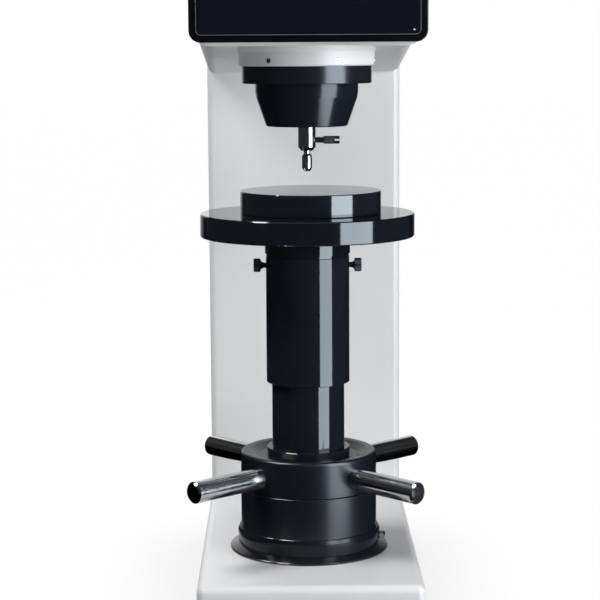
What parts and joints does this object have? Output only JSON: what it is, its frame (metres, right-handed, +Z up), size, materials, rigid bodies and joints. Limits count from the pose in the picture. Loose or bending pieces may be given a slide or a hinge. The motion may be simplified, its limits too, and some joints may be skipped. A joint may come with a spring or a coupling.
{
  "type": "bench hardness tester",
  "caption": "Bench hardness tester: C-shaped cast frame with a deep throat, elevating screw with capstan rods and round table, spindle with indenter, front display.",
  "frame": {"origin": "middle of the footprint at bench level", "axes": "+Z up, -Y towards the operator, +X to the operator's right"},
  "size_m": [0.2222, 0.5904, 0.8],
  "materials": {
    "casting_grey": "semi-gloss paint",
    "black_steel": "blackened and lacquered",
    "chrome": "polished",
    "steel": "ground",
    "aluminium": "machined",
    "brass": "machined",
    "rubber": "satin",
    "black_plastic": "gloss",
    "matte_plastic": "matte",
    "glass": "clear over black",
    "white_light": "clear",
    "board_green": "solder mask"
  },
  "bodies": {
    "frame": {"base_casting": "casting_grey", "bearing_plate": "aluminium", "clamp_ring": "black_steel", "clamp_screw": "steel", "column_casting": "casting_grey", "control_board": "board_green", "display_bezel": "black_plastic", "display_glass": "glass", "drive_motor": "matte_plastic", "foot_lock_nuts": "steel", "frame_bolts": "steel", "guide_key": "steel", "guide_posts": "chrome", "head_casting": "casting_grey", "head_top_cover": "casting_grey", "housing_skirt": "rubber", "lower_washer": "steel", "nose_cup": "black_steel", "nose_ring": "black_steel", "nose_set_screws": "steel", "power_inlet": "matte_plastic", "power_supply": "aluminium", "rear_cover": "casting_grey", "rear_cover_screws": "steel", "screw_bearing": "steel", "screw_guide": "brass", "screw_housing": "black_steel", "spindle_bush": "brass", "status_light": "white_light", "thrust_rollers": "steel", "timing_belt": "rubber", "top_cover_screws": "steel"},
    "capstan": {"capstan_hub": "black_steel", "capstan_rods": "chrome", "elevating_nut": "brass", "upper_washer": "steel", "lower_tube": "black_steel"},
    "elevating_set": {"anvil": "black_steel", "test_table": "black_steel", "elevating_screw": "steel", "screw_sleeve": "black_steel"},
    "right_sleeve_screw": {"sleeve_screw_right": "black_steel"},
    "left_sleeve_screw": {"sleeve_screw_left": "black_steel"},
    "load_train": {"spindle": "chrome", "indenter": "chrome", "indenter_ball": "steel", "load_cell": "aluminium", "crosshead": "aluminium", "crosshead_bushes": "brass", "ball_nut": "steel"},
    "indenter_clamp": {"indenter_screw": "black_steel"},
    "load_screw": {"ball_screw": "steel", "large_pulley": "aluminium"},
    "motor_rotor": {"small_pulley": "aluminium", "motor_shaft": "steel"},
    "mains_switch": {"power_switch": "matte_plastic"},
    "front_left_foot": {"foot_front_left": "steel"},
    "front_right_foot": {"foot_front_right": "steel"},
    "rear_left_foot": {"foot_rear_left": "steel"},
    "rear_right_foot": {"foot_rear_right": "steel"}
  },
  "joints": [
    {"name": "capstan_turn", "type": "hinge", "parent": "frame", "child": "capstan", "pos_m": [0, -0.1552, 0.1695], "axis": [0, 0, 1], "range_deg": [-3420, 720]},
    {"name": "elevating_slide", "type": "slide", "parent": "frame", "child": "elevating_set", "axis": [0, 0, 1], "range_m": [-0.057, 0.012]},
    {"name": "right_sleeve_screw_turn", "type": "hinge", "parent": "elevating_set", "child": "right_sleeve_screw", "pos_m": [0.0392, -0.1552, 0.3793], "axis": [1, 0, 0], "range_deg": [0, 720]},
    {"name": "left_sleeve_screw_turn", "type": "hinge", "parent": "elevating_set", "child": "left_sleeve_screw", "pos_m": [-0.0392, -0.1552, 0.3793], "axis": [-1, 0, 0], "range_deg": [0, 720]},
    {"name": "load_screw_turn", "type": "hinge", "parent": "frame", "child": "load_screw", "pos_m": [0, -0.1552, 0.73], "axis": [0, 0, 1], "range_deg": [0, 360]},
    {"name": "load_slide", "type": "slide", "parent": "frame", "child": "load_train", "axis": [0, 0, 1], "range_m": [-0.005, 0]},
    {"name": "motor_turn", "type": "hinge", "parent": "frame", "child": "motor_rotor", "pos_m": [0, -0.0552, 0.73], "axis": [0, 0, 1], "range_deg": [0, 880]},
    {"name": "indenter_screw_turn", "type": "hinge", "parent": "load_train", "child": "indenter_clamp", "pos_m": [0.00825, -0.1552, 0.496], "axis": [1, 0, 0], "range_deg": [0, 720]},
    {"name": "switch_rock", "type": "hinge", "parent": "frame", "child": "mains_switch", "pos_m": [-0.048, 0.2922, 0.2], "axis": [1, 0, 0], "range_deg": [0, 16]},
    {"name": "front_left_foot_turn", "type": "hinge", "parent": "frame", "child": "front_left_foot", "pos_m": [-0.0755, -0.2692, 0.02], "axis": [0, 0, 1], "range_deg": [-1080, 1080]},
    {"name": "front_right_foot_turn", "type": "hinge", "parent": "frame", "child": "front_right_foot", "pos_m": [0.0755, -0.2692, 0.02], "axis": [0, 0, 1], "range_deg": [-1080, 1080]},
    {"name": "rear_left_foot_turn", "type": "hinge", "parent": "frame", "child": "rear_left_foot", "pos_m": [-0.0755, 0.2648, 0.02], "axis": [0, 0, 1], "range_deg": [-1080, 1080]},
    {"name": "rear_right_foot_turn", "type": "hinge", "parent": "frame", "child": "rear_right_foot", "pos_m": [0.0755, 0.2648, 0.02], "axis": [0, 0, 1], "range_deg": [-1080, 1080]}
  ],
  "couplings": [
    {"joint": "elevating_slide", "follows": "capstan_turn", "m_per_rad": 0.00095493},
    {"joint": "load_slide", "follows": "load_screw_turn", "m_per_rad": -0.00079577},
    {"joint": "motor_turn", "follows": "load_screw_turn", "ratio": 2.4444}
  ]
}
